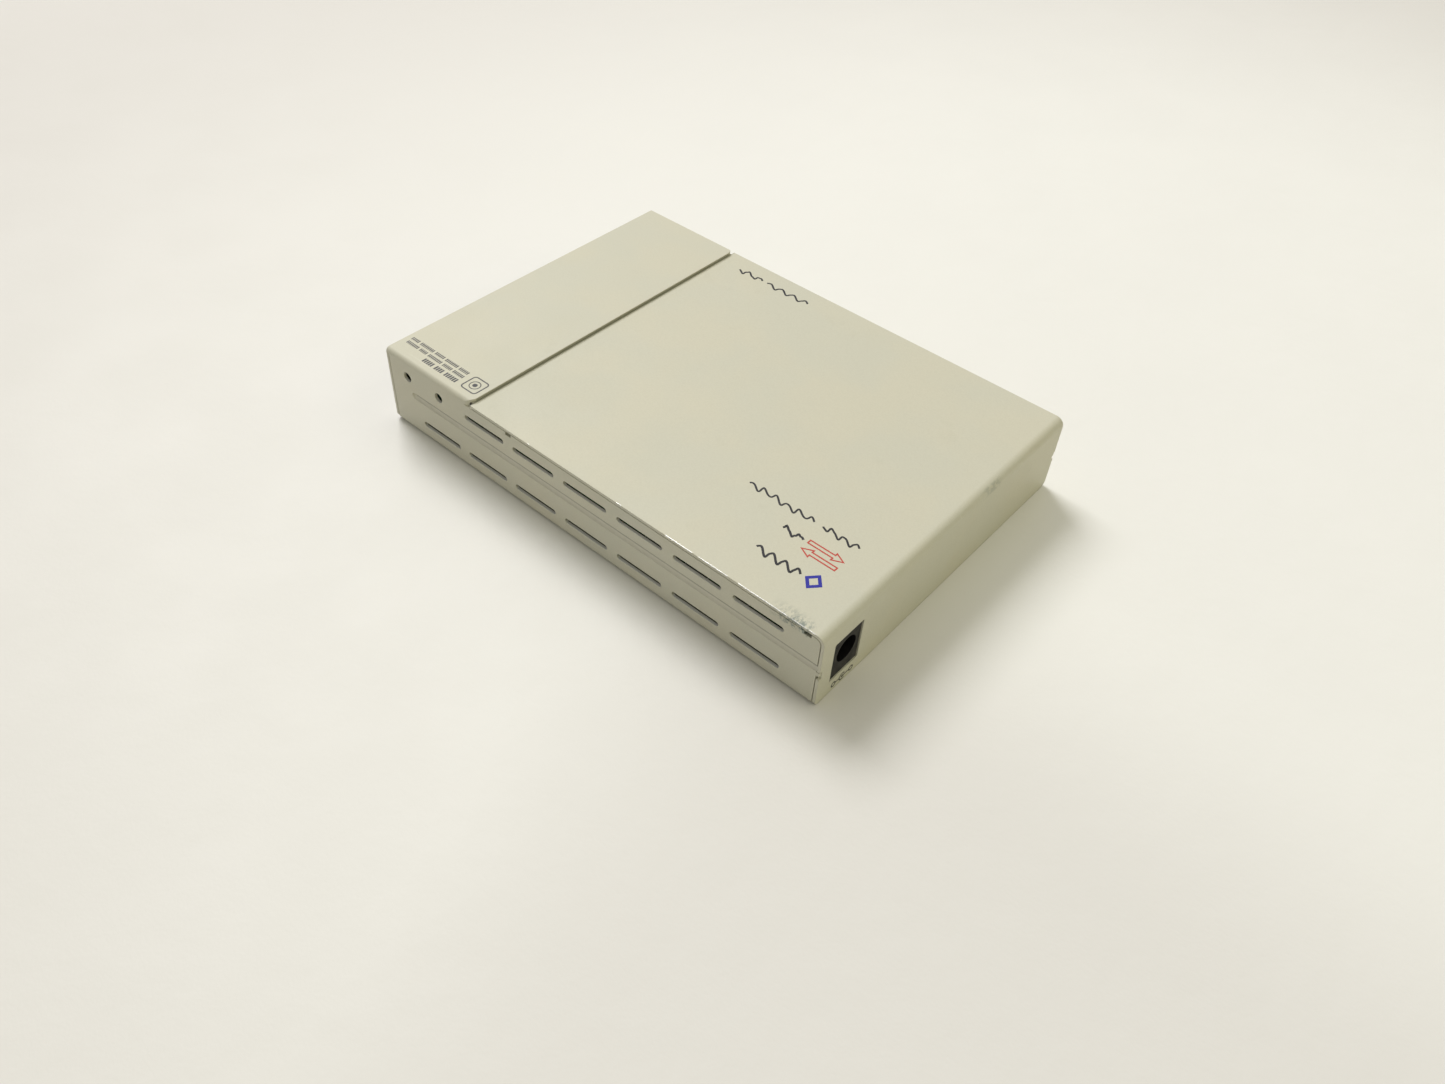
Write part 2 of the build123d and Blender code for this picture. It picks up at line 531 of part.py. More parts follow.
# ---------------------------------------------------------------- indicators
LED_BLOCK = (7.8, 11.6, 12.0)
LED_BLOCK_FRONT = INSIDE_FRONT + 0.2
LENS_REAR = INSIDE_FRONT + 4.0

with BuildPart() as led_holder:
    block_x = (LED_BLOCK_FRONT, LED_BLOCK_FRONT + LED_BLOCK[0])
    slab(block_x, centred(LED_Y, LED_BLOCK[1]), (BOARD_TOP, BOARD_TOP + LED_BLOCK[2]))
    for led_y in LED_COLUMNS:
        for led_z in LED_ROWS:
            rod_along(led_y, led_z, LED_RADIUS, (FRONT, LENS_REAR), Mode.SUBTRACT)
finish(led_holder, "led_holder")

with BuildPart() as led_lenses:
    for led_y in LED_COLUMNS:
        for led_z in LED_ROWS:
            rod_along(led_y, led_z, LED_RADIUS, (FRONT + 0.05, LENS_REAR))
    fillet(led_lenses.edges().filter_by(GeomType.CIRCLE).group_by(Axis.X)[0], 0.5)
finish(led_lenses, "led_lenses")

# ---------------------------------------------------------------- configuration switch
DIP_FACE = INSIDE_FRONT + 0.3
DIP_BODY = (6.6, 4 * DIP_PITCH + 1.5, 8.0)
POCKET_HEIGHT = 3.4
POCKET_WIDTH = 1.6
POCKET_DEPTH = 1.7
POCKET_LOW = BOARD_TOP + 2.3
SLIDER_HEIGHT = POCKET_HEIGHT - DIP_TRAVEL - 0.2
DIP_SLIDERS = [DIP_Y + (index - 1.5) * DIP_PITCH for index in range(4)]

with BuildPart() as dip_switch_body:
    body_x = (DIP_FACE, DIP_FACE + DIP_BODY[0])
    slab(body_x, centred(DIP_Y, DIP_BODY[1]), (BOARD_TOP, BOARD_TOP + DIP_BODY[2]))
    for slider_y in DIP_SLIDERS:
        pocket_x = (DIP_FACE - 1, DIP_FACE + POCKET_DEPTH)
        pocket_z = (POCKET_LOW, POCKET_LOW + POCKET_HEIGHT)
        slab(pocket_x, centred(slider_y, POCKET_WIDTH), pocket_z, Mode.SUBTRACT)
finish(dip_switch_body, "dip_switch_body")

for number, slider_y in enumerate(DIP_SLIDERS, start=1):
    with BuildPart() as slider:
        slider_z = (POCKET_LOW + 0.1, POCKET_LOW + 0.1 + SLIDER_HEIGHT)
        slab((DIP_FACE - 0.7, DIP_FACE + POCKET_DEPTH - 0.1), centred(slider_y, POCKET_WIDTH - 0.2), slider_z)
        chamfer(slider.faces().sort_by(Axis.X)[0].edges(), 0.2)
    finish(slider, f"dip_slider_{number}")

# ---------------------------------------------------------------- board components
PACKAGE_GAP = 0.1       # a chip's body stands this far above the board
LEAD_REACH = 1.0        # a chip's leads stick out this far
ALL_SIDES = ((0, 1), (1, 0))


def chip(middle, size, height, lead_count, lead_sides):
    """A moulded chip with flat leads along two or four of its sides.

    Each of lead_sides gives the axis that a row of leads runs along and the one it sticks out on.
    """
    with BuildPart() as package:
        slab(centred(middle[0], size[0]), centred(middle[1], size[1]),
             (BOARD_TOP + PACKAGE_GAP, BOARD_TOP + PACKAGE_GAP + height))
        chamfer(package.faces().sort_by(Axis.Z)[-1].edges(), 0.25)
        lead_z = (BOARD_TOP, BOARD_TOP + PACKAGE_GAP + 0.2)
        for along, across in lead_sides:
            pitch = (size[along] - 1.4) / (lead_count - 1)
            for index in range(lead_count):
                step = (index - (lead_count - 1) / 2) * pitch
                spans = [None, None]
                spans[along] = centred(middle[along] + step, 0.45 * pitch)
                spans[across] = centred(middle[across], size[across] + 2 * LEAD_REACH)
                slab(spans[0], spans[1], lead_z)
    return package


finish(chip((-6, 6), (20.0, 14.0), 2.6, 16, ALL_SIDES), "converter_chip")
finish(chip((20, 24), (10.0, 10.0), 1.4, 12, ALL_SIDES), "line_driver_chip")
finish(chip((-34, 18), (7.0, 12.6), 4.6, 8, ((1, 0),)), "network_transformer")
finish(chip((28, -14), (6.5, 3.5), 1.6, 3, ((0, 1),)), "voltage_regulator")

CRYSTAL_PLACE = (-8, -16)
CRYSTAL_SIZE = (11.0, 4.6)
CRYSTAL_HEIGHT = 3.4

with BuildPart() as crystal:
    with BuildSketch(Plane.XY.offset(BOARD_TOP)) as crystal_outline:
        with Locations(CRYSTAL_PLACE):
            SlotOverall(*CRYSTAL_SIZE)
    extrude(amount=CRYSTAL_HEIGHT)
    fillet(crystal.faces().sort_by(Axis.Z)[-1].edges(), 0.4)
finish(crystal, "crystal")

CAPACITORS = (((38, -34), 4.0, 11.0), ((26, -36), 3.15, 9.0), ((14, -36), 3.15, 9.0))  # place, radius, height

with BuildPart() as capacitors:
    for place, radius, height in CAPACITORS:
        rod_up(place, radius, (BOARD_TOP, BOARD_TOP + height))
    rims = capacitors.edges().filter_by(GeomType.CIRCLE).filter_by(lambda e: e.center().Z > BOARD_TOP + 1)
    fillet(rims, 0.5)
finish(capacitors, "capacitors")

INDUCTOR_PLACE = (42, -6)
INDUCTOR_SIZE = 10.0
INDUCTOR_TOP = BOARD_TOP + 4.0

with BuildPart() as power_inductor:
    slab(centred(INDUCTOR_PLACE[0], INDUCTOR_SIZE), centred(INDUCTOR_PLACE[1], INDUCTOR_SIZE),
         (BOARD_TOP, INDUCTOR_TOP))
    fillet(power_inductor.edges().filter_by(Axis.Z), 2.0)
    # the core shows in a round well
    rod_up(INDUCTOR_PLACE, 3.6, (INDUCTOR_TOP - 0.6, HEIGHT), Mode.SUBTRACT)
    rod_up(INDUCTOR_PLACE, 3.2, (INDUCTOR_TOP - 0.8, INDUCTOR_TOP))
finish(power_inductor, "power_inductor")

COMPONENT_ROWS = ((8, -6, 8), (-26, -4, 6), (2, 30, 7), (34, 6, 5))     # X, Y and number in the row
COMPONENT_SIZE = (2.0, 1.25, 0.6)
COMPONENT_PITCH = 2.2

with BuildPart() as chip_components:
    for row_x, row_y, count in COMPONENT_ROWS:
        for index in range(count):
            component_y = centred(row_y + index * COMPONENT_PITCH - count, COMPONENT_SIZE[1])
            slab(centred(row_x, COMPONENT_SIZE[0]), component_y, (BOARD_TOP, BOARD_TOP + COMPONENT_SIZE[2]))
finish(chip_components, "chip_components")
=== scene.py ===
"""Looks of a copper-to-fibre media converter in a folded sheet-steel box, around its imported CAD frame.

Blender units are metres, in the CAD frame: +X from the front panel to the rear wall, +Y from the
near slotted wall to the far one, +Z up, origin in the middle of the underside. Sizes below are
given in millimetres times MM.
"""
import json
import math
import random

import bpy
from mathutils import Matrix, Vector


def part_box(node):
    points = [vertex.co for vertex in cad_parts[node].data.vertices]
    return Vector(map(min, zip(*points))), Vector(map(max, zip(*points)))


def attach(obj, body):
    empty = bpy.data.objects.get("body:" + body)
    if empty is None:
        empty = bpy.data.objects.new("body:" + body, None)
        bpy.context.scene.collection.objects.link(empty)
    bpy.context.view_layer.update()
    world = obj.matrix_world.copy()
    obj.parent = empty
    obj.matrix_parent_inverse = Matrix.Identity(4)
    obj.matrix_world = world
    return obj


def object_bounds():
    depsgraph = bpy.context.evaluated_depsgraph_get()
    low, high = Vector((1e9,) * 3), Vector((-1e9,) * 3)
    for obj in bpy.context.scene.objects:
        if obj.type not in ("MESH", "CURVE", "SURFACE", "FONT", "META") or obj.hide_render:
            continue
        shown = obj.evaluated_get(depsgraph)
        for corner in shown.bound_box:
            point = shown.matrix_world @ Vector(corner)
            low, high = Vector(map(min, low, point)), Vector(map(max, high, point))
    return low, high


MM = 0.001
INK = 0.02 * MM                         # thickness of printed ink

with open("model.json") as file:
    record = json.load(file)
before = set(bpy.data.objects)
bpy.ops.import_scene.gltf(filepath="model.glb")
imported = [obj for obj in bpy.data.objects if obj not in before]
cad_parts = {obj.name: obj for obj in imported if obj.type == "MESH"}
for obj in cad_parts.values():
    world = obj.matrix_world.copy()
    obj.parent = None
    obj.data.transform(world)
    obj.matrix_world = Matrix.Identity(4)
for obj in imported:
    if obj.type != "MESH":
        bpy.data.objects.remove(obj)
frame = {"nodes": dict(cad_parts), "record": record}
cad_low, cad_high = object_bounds()
nodes = frame["nodes"]
shell_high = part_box("base_shell")[1]
strip_top = shell_high.z
cover_low, cover_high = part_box("top_cover")
board_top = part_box("circuit_board")[1].z
SHEET = 0.7 * MM                        # thickness of the case's sheet steel
STRIP_REAR = cad_low.x + 30 * MM
MIDDLE_OF_SLOTS = 10.25 * MM            # halfway between the two rows
GROOVE_Z = 11.6 * MM
# place along X and Y, radius and height above the board of each capacitor, in millimetres
CAPACITORS = ((38, -34, 4.0, 11.0), (26, -36, 3.15, 9.0), (14, -36, 3.15, 9.0))
INDICATOR_ROWS = (6.4, 10.0, 13.6)      # heights of the indicators, in millimetres


# ---------------------------------------------------------------- node trees
class Surface:
    """A procedural material. Its methods add shader nodes and return their output sockets."""

    def __init__(self, name, **constants):
        self.material = bpy.data.materials.new(name)
        self.material.use_nodes = True
        self.tree = self.material.node_tree
        self.shader = self.tree.nodes["Principled BSDF"]
        self.place = self.node("ShaderNodeTexCoord").outputs["Object"]
        for socket, value in constants.items():
            self.set(socket.replace("_", " "), value)

    def node(self, kind, **settings):
        made = self.tree.nodes.new(kind)
        for key, value in settings.items():
            setattr(made, key, value)
        return made

    def join(self, value, socket):
        """Links a socket, or sets a number or a colour."""
        if isinstance(value, bpy.types.NodeSocket):
            self.tree.links.new(value, socket)
        elif isinstance(value, (tuple, list)) and len(value) == 3 and socket.type == "RGBA":
            socket.default_value = (*value, 1.0)
        else:
            socket.default_value = value

    def set(self, socket, value):
        self.join(value, self.shader.inputs[socket])

    def math(self, operation, first, second=0.0):
        made = self.node("ShaderNodeMath", operation=operation)
        self.join(first, made.inputs[0])
        self.join(second, made.inputs[1])
        return made.outputs[0]

    def all_of(self, *masks):
        """The product of the masks: 1 only where every one of them is 1."""
        product = masks[0]
        for mask in masks[1:]:
            product = self.math("MULTIPLY", product, mask)
        return product

    def axes(self):
        """The X, Y and Z of the surface point, in metres."""
        split = self.node("ShaderNodeSeparateXYZ")
        self.join(self.place, split.inputs[0])
        return split.outputs

    def stretched(self, x=1.0, y=1.0, z=1.0):
        """The surface point with each axis scaled, for patterns that are longer one way."""
        made = self.node("ShaderNodeMapping")
        self.join(self.place, made.inputs["Vector"])
        made.inputs["Scale"].default_value = (x, y, z)
        return made.outputs[0]

    def noise(self, size, detail=2.0, roughness=0.5, place=None):
        """Soft noise about 0.5, whose features are about size metres across."""
        made = self.node("ShaderNodeTexNoise")
        self.join(place or self.place, made.inputs["Vector"])
        made.inputs["Scale"].default_value = 1.0 / size
        made.inputs["Detail"].default_value = detail
        made.inputs["Roughness"].default_value = roughness
        return made.outputs[0]

    def spots(self, spacing, radius, share=0.5):
        """1 in small round spots, spread unevenly, and 0 elsewhere."""
        made = self.node("ShaderNodeTexVoronoi")
        self.join(self.place, made.inputs["Vector"])
        made.inputs["Scale"].default_value = 1.0 / spacing
        split = self.node("ShaderNodeSeparateColor")
        self.join(made.outputs["Color"], split.inputs[0])
        chosen = self.math("LESS_THAN", split.outputs[0], share)
        size = self.math("MULTIPLY", split.outputs[1], radius / spacing)
        inside = self.math("LESS_THAN", made.outputs["Distance"], size)
        return self.math("MULTIPLY", chosen, inside)

    def ramp(self, value, low, high, bottom=0.0, top=1.0):
        """bottom below low and top above high, smooth between; low may be the larger."""
        made = self.node("ShaderNodeMapRange", interpolation_type="SMOOTHSTEP")
        for socket, number in zip(made.inputs, (value, low, high, bottom, top)):
            self.join(number, socket)
        return made.outputs[0]

    def mix(self, factor, first, second):
        made = self.node("ShaderNodeMix", data_type="RGBA")
        self.join(factor, made.inputs[0])
        self.join(first, made.inputs[6])
        self.join(second, made.inputs[7])
        return made.outputs[2]

    def rounded(self, radius):
        """A normal that rounds sharp edges off by radius."""
        made = self.node("ShaderNodeBevel", samples=4)
        made.inputs["Radius"].default_value = radius
        return made.outputs[0]

    def edges(self, normal):
        """1 on outer and inner edges, where the rounded normal leaves the face's own, else 0."""
        made = self.node("ShaderNodeVectorMath", operation="DOT_PRODUCT")
        self.join(normal, made.inputs[0])
        self.join(self.node("ShaderNodeNewGeometry").outputs["True Normal"], made.inputs[1])
        return self.ramp(made.outputs["Value"], 0.985, 0.88)

    def bump(self, height, depth, normal=None, strength=1.0):
        made = self.node("ShaderNodeBump")
        made.inputs["Strength"].default_value = strength
        made.inputs["Distance"].default_value = depth
        self.join(height, made.inputs["Height"])
        if normal is not None:
            self.join(normal, made.inputs["Normal"])
        self.set("Normal", made.outputs[0])
        return made.outputs[0]


# ---------------------------------------------------------------- materials
BARE_STEEL = (0.62, 0.62, 0.60)
PAINT = (0.583, 0.567, 0.468)
PAINT_WARM = (0.592, 0.571, 0.466)
PAINT_COOL = (0.574, 0.564, 0.472)
INSIDE_SHADE = (0.095, 0.094, 0.082)    # painted shade darkening the inside of the case
# painted shade in the step behind the strip
STEP_SHADE = (0.100, 0.100, 0.070)
# painted shade at the foot of the walls
WALL_FOOT_SHADE = (0.25, 0.24, 0.18)
RUB_GREY = (0.17, 0.21, 0.20)
# painted highlight on the slots' lower lips
SLOT_LIP_HIGHLIGHT = (0.80, 0.80, 0.78)
SCRATCH = (0.66, 0.65, 0.56)


def coat_tone(s, grain):
    """The paint's own colour: warmer and cooler clouds, grain, faint stains and dark specks."""
    tone = s.mix(s.ramp(s.noise(22 * MM, 3), 0.35, 0.65), PAINT_WARM, PAINT_COOL)
    tone = s.mix(s.ramp(grain, 0.3, 0.75, 0.0, 0.16), tone, (0.44, 0.42, 0.34))
    stain = s.ramp(s.noise(9 * MM, 5, 0.62), 0.60, 0.78, 0.0, 0.10)
    tone = s.mix(stain, tone, (0.36, 0.34, 0.25))
    specks = s.math("MAXIMUM", s.spots(13 * MM, 0.30 * MM, 0.35), s.spots(5 * MM, 0.10 * MM, 0.25))
    return s.mix(s.math("MULTIPLY", specks, 0.75), tone, (0.10, 0.09, 0.07))


def bare_mask(s, soft_normal):
    """1 where the paint is gone: along the cover's near edge, and in chips on any sheet edge."""
    x, y, z = s.axes()
    rough_line = s.noise(2.2 * MM, 4, 0.65, s.stretched(0.3, 1, 1))
    threshold = s.ramp(x, -12 * MM, 45 * MM, 0.66, 0.44)      # more wear towards the rear
    cover_edge = s.all_of(s.ramp(y, cover_low.y + 0.20 * MM, cover_low.y + 0.12 * MM),
                          s.ramp(z, cover_high.z - 0.16 * MM, cover_high.z - 0.08 * MM),
                          s.ramp(x, -34.5 * MM, -33.5 * MM))
    worn_line = s.all_of(s.math("GREATER_THAN", rough_line, threshold), cover_edge)
    chipped = s.all_of(s.edges(soft_normal), s.ramp(s.noise(3.5 * MM, 5, 0.7), 0.63, 0.67))
    return s.math("MAXIMUM", worn_line, chipped)


def rub_mask(s):
    """Grey rub marks beside the cover's near edge at the rear, and faintly on the rear bend."""
    x, y, z = s.axes()
    near_patch = s.all_of(s.ramp(y, -43.0 * MM, -46.2 * MM),
                          s.ramp(x, 51.0 * MM, 58.0 * MM), s.ramp(x, 63.2 * MM, 61.2 * MM))
    rear_patch = s.all_of(s.ramp(x, 64.5 * MM, 65.2 * MM), s.ramp(z, 20.4 * MM, 19.9 * MM),
                          s.ramp(y, 10.0 * MM, 14.0 * MM), s.ramp(y, 20.0 * MM, 17.0 * MM, 0.0, 0.35))
    smear = s.noise(0.9 * MM, 4, 0.7, s.stretched(1.0, 0.5, 1.0))
    return s.all_of(s.math("MAXIMUM", near_patch, rear_patch), s.ramp(z, 18.0 * MM, 18.8 * MM),
                    s.ramp(smear, 0.42, 0.58, 0.0, 0.80))


def step_shade_mask(s):
    """Painted shade in the step behind the strip."""
    x, _, z = s.axes()
    return s.all_of(s.ramp(x, STRIP_REAR - 0.06 * MM, STRIP_REAR - 0.02 * MM),
                    s.ramp(x, STRIP_REAR + 0.45 * MM, STRIP_REAR + 0.10 * MM),
                    s.ramp(z, strip_top - 0.12 * MM, strip_top - 0.22 * MM),
                    s.ramp(z, cover_high.z - 0.5 * MM, cover_high.z - 0.3 * MM, 0.0, 0.5))


def wall_foot_shade_mask(s):
    """Painted shade low on the walls, less on the rear one."""
    x, _, z = s.axes()
    return s.all_of(s.ramp(z, 1.3 * MM, 0.2 * MM, 0.0, 0.5),
                    s.ramp(x, cad_high.x - 1.0 * MM, cad_high.x - 2.0 * MM, 0.15, 1.0))


def inside_shade_mask(s):
    """1 inside the case, further in from its outer faces than the sheet is thick: painted shade there."""
    x, y, z = s.axes()

    def past(value, face, inwards):
        return s.ramp(value, face + inwards * 0.85 * SHEET, face + inwards * 1.1 * SHEET)

    return s.all_of(past(s.math("ABSOLUTE", y), shell_high.y, -1), past(z, cover_high.z, -1),
                    past(z, 0.0, 1), past(x, cad_low.x, 1), past(x, cad_high.x, -1))


def facing_up(s):
    """The Z of the face's own normal: 1 facing up, 0 on a wall, -1 facing down."""
    split = s.node("ShaderNodeSeparateXYZ")
    s.join(s.node("ShaderNodeNewGeometry").outputs["True Normal"], split.inputs[0])
    return split.outputs[2]


def slot_lip_highlight_mask(s, upward):
    """1 on the upward-facing lower lips of the slots punched in the side walls, lightened as a painted
    highlight.
    """
    _, y, z = s.axes()
    in_wall = s.ramp(s.math("ABSOLUTE", y), shell_high.y - 1.02 * SHEET, shell_high.y - 0.98 * SHEET)
    from_middle = s.math("ABSOLUTE", s.math("SUBTRACT", z, MIDDLE_OF_SLOTS))
    return s.all_of(s.ramp(upward, 0.35, 0.8), in_wall,
                    s.ramp(from_middle, 4.4 * MM, 4.7 * MM), s.ramp(from_middle, 6.9 * MM, 6.6 * MM))


def groove_highlight_and_shade(s, tone, upward):
    """The pressed groove: painted highlight on its upward-facing lower side, painted shade on its
    downward-facing upper one.
    """
    from_groove = s.math("ABSOLUTE", s.math("SUBTRACT", s.axes()[2], GROOVE_Z))
    in_groove = s.ramp(from_groove, 1.15 * MM, 1.0 * MM)
    # painted highlight where the groove faces up
    tone = s.mix(s.all_of(in_groove, s.ramp(upward, 0.05, 0.5, 0.0, 0.8)), tone, (0.74, 0.72, 0.64))
    # painted shade where the groove faces down
    return s.mix(s.all_of(in_groove, s.ramp(upward, -0.1, -0.7, 0.0, 0.25)), tone, (0.38, 0.36, 0.28))


def scratch_mask(s):
    """Fine scratches in two directions."""
    along = s.ramp(s.noise(3.0 * MM, 3, 0.6, s.stretched(0.08, 2.4, 1.0)), 0.735, 0.76, 0.0, 0.35)
    across = s.ramp(s.noise(3.0 * MM, 3, 0.6, s.stretched(2.6, 0.09, 1.0)), 0.745, 0.77, 0.0, 0.30)
    return s.math("MAXIMUM", along, across)


def painted_steel():
    """Beige powder coat: fine orange peel, faint stains, specks, rub marks and worn edges, with painted shade
    and highlights.
    """
    s = Surface("painted_steel", Specular_IOR_Level=0.28)
    grain = s.noise(0.35 * MM, 2)
    soft_normal = s.rounded(0.16 * MM)
    upward = facing_up(s)
    tone = coat_tone(s, grain)
    tone = s.mix(rub_mask(s), tone, RUB_GREY)
    # painted shade in the step behind the strip
    tone = s.mix(step_shade_mask(s), tone, STEP_SHADE)
    # painted shade low on the walls
    tone = s.mix(wall_foot_shade_mask(s), tone, WALL_FOOT_SHADE)
    # painted shade: the inside of the case darkened
    tone = s.mix(inside_shade_mask(s), tone, INSIDE_SHADE)
    # painted highlight on the slots' lower lips
    tone = s.mix(slot_lip_highlight_mask(s, upward), tone, SLOT_LIP_HIGHLIGHT)
    # painted highlight and shade in the groove
    tone = groove_highlight_and_shade(s, tone, upward)
    tone = s.mix(scratch_mask(s), tone, SCRATCH)
    bare = bare_mask(s, soft_normal)
    s.set("Base Color", s.mix(bare, tone, BARE_STEEL))
    s.set("Metallic", bare)
    rough = s.ramp(s.noise(14 * MM, 4), 0.3, 0.7, 0.46, 0.56)
    s.set("Roughness", s.math("SUBTRACT", rough, s.math("MULTIPLY", bare, 0.14)))
    peel = s.math("ADD", s.noise(0.9 * MM, 2), s.math("MULTIPLY", grain, 0.35))
    s.bump(s.math("SUBTRACT", peel, bare), 0.018 * MM, soft_normal, 0.55)
    return s.material


def plated(name, colour, tint, roughness):
    """Rolled or turned metal with a plated finish: cloudy tint, drawn lines and smudges."""
    s = Surface(name, Metallic=1.0)
    cloud = s.ramp(s.noise(2.5 * MM, 4, 0.6), 0.35, 0.7)
    s.set("Base Color", s.mix(cloud, colour, tint))
    lines = s.noise(0.3 * MM, 3, 0.6, s.stretched(0.08, 1, 1))
    smudge = s.ramp(s.noise(1.8 * MM, 3), 0.4, 0.75, roughness, roughness + 0.16)
    s.set("Roughness", s.math("ADD", smudge, s.math("MULTIPLY", lines, 0.08)))
    s.bump(lines, 0.003 * MM, s.rounded(0.08 * MM), 0.3)
    return s.material


def moulded(name, colour, roughness, grain=0.18 * MM, dust=0.12, edge=0.10 * MM, shine=0.32):
    """Moulded plastic: fine spark-eroded grain, slightly paler edges, some dust."""
    s = Surface(name, Specular_IOR_Level=shine)
    normal = s.rounded(edge)
    paler = tuple(min(1.0, c * 1.25 + 0.015) for c in colour)
    tone = s.mix(s.ramp(s.noise(3 * MM, 4, 0.6), 0.4, 0.7, 0.0, 0.5), colour, tuple(c * 0.82 for c in colour))
    tone = s.mix(s.math("MULTIPLY", s.edges(normal), 0.6), tone, paler)
    tone = s.mix(s.ramp(s.noise(0.7 * MM, 5, 0.7), 0.55, 0.8, 0.0, dust), tone, (0.45, 0.43, 0.38))
    s.set("Base Color", tone)
    fine = s.noise(grain, 2)
    s.set("Roughness", s.ramp(s.noise(2 * MM, 3), 0.3, 0.7, roughness - 0.06, roughness + 0.06))
    s.bump(fine, 0.012 * MM, normal, 0.6)
    return s.material


def board_green():
    """Green solder mask over copper pours and thin routed lines."""
    s = Surface("board_green", Coat_Weight=0.35, Coat_Roughness=0.18)
    z = s.axes()[2]
    pour = s.math("GREATER_THAN", s.noise(9 * MM, 1, 0.4), 0.50)

    def routed(cell, width, shift):
        grid = s.node("ShaderNodeTexVoronoi", distance="MANHATTAN", feature="F1")
        moved = s.node("ShaderNodeMapping")
        s.join(s.place, moved.inputs["Vector"])
        moved.inputs["Location"].default_value = (shift, shift, 0)
        s.join(moved.outputs[0], grid.inputs["Vector"])
        grid.inputs["Scale"].default_value = 1.0 / cell
        rings = s.math("FRACT", s.math("MULTIPLY", grid.outputs["Distance"], 4.0))
        return s.math("LESS_THAN", rings, width)

    wider_lines = s.math("MULTIPLY", routed(11 * MM, 0.16, 31 * MM), 0.8)
    lines = s.math("MAXIMUM", routed(7 * MM, 0.22, 0.0), wider_lines)
    copper = s.math("MAXIMUM", s.math("MULTIPLY", lines, 0.9), s.math("MULTIPLY", pour, 0.55))
    mask = s.mix(copper, (0.010, 0.060, 0.026), (0.022, 0.125, 0.050))
    # the laminate shows on the board's own edges
    laminate = s.mix(s.noise(0.5 * MM, 3), (0.30, 0.30, 0.14), (0.42, 0.40, 0.22))
    on_edge = s.math("MULTIPLY", s.math("LESS_THAN", z, board_top - 0.1 * MM),
                     s.math("GREATER_THAN", z, board_top - 1.5 * MM))
    s.set("Base Color", s.mix(on_edge, mask, laminate))
    s.set("Roughness", s.ramp(s.noise(5 * MM, 3), 0.3, 0.7, 0.28, 0.42))
    s.bump(s.math("ADD", copper, s.math("MULTIPLY", s.noise(0.25 * MM, 2), 0.25)), 0.03 * MM)
    return s.material


def chip_black():
    """Black epoxy chip package with a matte grain."""
    return moulded("chip_black", (0.028, 0.028, 0.030), 0.62, 0.12 * MM, 0.10, 0.12 * MM)


def lens_green():
    """Milky green indicator lens, slightly see-through."""
    s = Surface("lens_green", Transmission_Weight=0.35, IOR=1.49, Coat_Weight=0.5)
    s.set("Base Color", s.mix(s.noise(1.2 * MM, 3), (0.10, 0.42, 0.14), (0.20, 0.58, 0.24)))
    s.set("Roughness", s.ramp(s.noise(0.8 * MM, 3), 0.3, 0.7, 0.16, 0.30))
    s.bump(s.noise(0.3 * MM, 2), 0.006 * MM, s.rounded(0.1 * MM), 0.5)
    return s.material


def capacitor_sleeve():
    """Black shrink sleeve, with bare aluminium at the two heights that the cans' lids have."""
    s = Surface("capacitor_sleeve")
    tall = s.axes()[2]
    sleeve = s.mix(s.noise(1.5 * MM, 3), (0.012, 0.014, 0.022), (0.030, 0.032, 0.045))
    can_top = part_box("capacitors")[1].z
    lid = s.math("MAXIMUM", s.ramp(tall, can_top - 0.30 * MM, can_top - 0.10 * MM),
                 s.math("MULTIPLY", s.ramp(tall, can_top - 2.3 * MM, can_top - 2.1 * MM),
                        s.ramp(tall, can_top - 1.9 * MM, can_top - 2.0 * MM)))
    s.set("Base Color", s.mix(lid, sleeve, (0.60, 0.61, 0.62)))
    s.set("Metallic", lid)
    s.set("Roughness", s.ramp(s.noise(2 * MM, 3), 0.3, 0.7, 0.28, 0.40))
    s.bump(s.noise(0.5 * MM, 3), 0.01 * MM, s.rounded(0.15 * MM), 0.6)
    return s.material


def ink(name, colour):
    """Screen-printed ink, thin in places."""
    s = Surface(name, Specular_IOR_Level=0.35)
    thin = s.ramp(s.noise(0.5 * MM, 4, 0.7), 0.60, 0.80, 0.0, 0.14)
    s.set("Base Color", s.mix(thin, colour, PAINT))
    s.set("Roughness", s.ramp(s.noise(1 * MM, 2), 0.3, 0.7, 0.38, 0.5))
    s.bump(s.noise(0.2 * MM, 2), 0.004 * MM, None, 0.5)
    return s.material


finishes = {
    "painted_steel": painted_steel(),
    "zinc_steel": plated("zinc_steel", (0.60, 0.60, 0.58), (0.52, 0.50, 0.42), 0.30),
    "board_green": board_green(),
    "black_plastic": moulded("black_plastic", (0.006, 0.006, 0.007), 0.42, dust=0.01, shine=0.16),
    "nickel": plated("nickel", (0.72, 0.70, 0.66), (0.66, 0.64, 0.60), 0.30),
    "gold": plated("gold", (0.86, 0.63, 0.26), (0.72, 0.50, 0.20), 0.22),
    "chip_black": chip_black(),
    "lens_green": lens_green(),
    "slider_white": moulded("slider_white", (0.74, 0.73, 0.68), 0.45, dust=0.05),
    "switch_blue": moulded("switch_blue", (0.030, 0.090, 0.340), 0.42, dust=0.08),
    "grey_plastic": moulded("grey_plastic", (0.22, 0.22, 0.23), 0.48),
    "sleeve_white": moulded("sleeve_white", (0.78, 0.77, 0.72), 0.22, dust=0.04),
}
chip_body = moulded("chip_component", (0.33, 0.24, 0.15), 0.40, dust=0.02)
special_finishes = {"capacitors": capacitor_sleeve(), "chip_components": chip_body}

for row in frame["record"]["subparts"]:
    finish = special_finishes.get(row["node"], finishes[row["material_slot"]])
    for material_slot in nodes[row["node"]].material_slots:
        material_slot.material = finish


